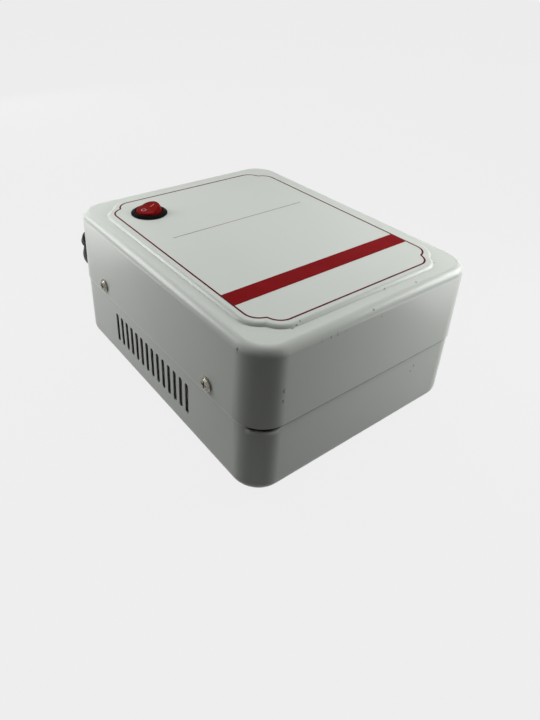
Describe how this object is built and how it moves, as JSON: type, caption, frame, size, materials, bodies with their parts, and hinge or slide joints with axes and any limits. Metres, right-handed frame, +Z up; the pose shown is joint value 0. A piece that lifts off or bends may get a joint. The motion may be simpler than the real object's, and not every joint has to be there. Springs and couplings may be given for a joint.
{
  "type": "travel voltage converter",
  "caption": "Bench-top step-down voltage converter: pale enamelled steel box with a round red rocker switch on top, vented sides, rear sockets and a coiled mains lead with an earthed plug.",
  "frame": {"origin": "on the table, under the middle of the case's footprint", "axes": "+Z up out of the top panel, +Y towards the rear wall with the sockets and the lead, +X towards the right side seen from the plain front wall"},
  "size_m": [0.2108, 0.3486, 0.1035],
  "materials": {
    "case_enamel": "pale grey-green semi-gloss enamel on drawn steel sheet",
    "bright_steel": "bright nickel-plated steel",
    "foot_rubber": "matt black rubber",
    "switch_black": "glossy black nylon",
    "switch_red": "translucent red polycarbonate with white marks",
    "contact_brass": "plain brass",
    "socket_black": "fine-grained black moulding",
    "breaker_black": "black moulding",
    "button_white": "smooth off-white moulding",
    "cord_black": "satin black flexible PVC",
    "nylon_black": "black nylon",
    "plug_black": "satin black moulded PVC",
    "plug_metal": "nickel-plated brass",
    "winding_tape": "copper wire under amber polyester tape",
    "core_steel": "wound electrical steel strip",
    "block_white": "off-white nylon"
  },
  "bodies": {
    "case": {"top_cover": "case_enamel", "bottom_tray": "case_enamel", "case_screws": "bright_steel", "case_nuts": "bright_steel", "feet": "foot_rubber", "foot_screws": "bright_steel", "foot_nuts": "bright_steel", "switch_housing": "switch_black", "switch_tabs": "contact_brass", "socket_1": "socket_black", "socket_1_contacts": "contact_brass", "socket_2": "socket_black", "socket_2_contacts": "contact_brass", "breaker_body": "breaker_black", "breaker_nut": "bright_steel", "breaker_tabs": "contact_brass", "strain_relief": "cord_black", "relief_nut": "nylon_black", "cord_lead": "cord_black", "cord_coil": "cord_black", "cord_tail": "cord_black", "plug_body": "plug_black", "plug_pins": "plug_metal", "plug_clips": "plug_metal", "transformer_winding": "winding_tape", "transformer_core": "core_steel", "lower_pad": "foot_rubber", "upper_pad": "foot_rubber", "clamp_washer": "bright_steel", "clamp_bolt": "bright_steel", "clamp_nut": "bright_steel", "terminal_block": "block_white", "terminal_straps": "contact_brass", "terminal_screws": "bright_steel", "earth_stud": "bright_steel", "earth_tag": "contact_brass", "earth_nut": "bright_steel"},
    "rocker": {"rocker": "switch_red"},
    "reset_button": {"breaker_button": "button_white"}
  },
  "joints": [
    {"name": "rocker_hinge", "type": "hinge", "parent": "case", "child": "rocker", "pos_m": [-0.0442, 0.0608, 0.0977], "axis": [0, 1, 0], "range_deg": [0, 29]},
    {"name": "reset_slide", "type": "slide", "parent": "case", "child": "reset_button", "axis": [0, 1, 0], "range_m": [0, 0.0035]}
  ]
}
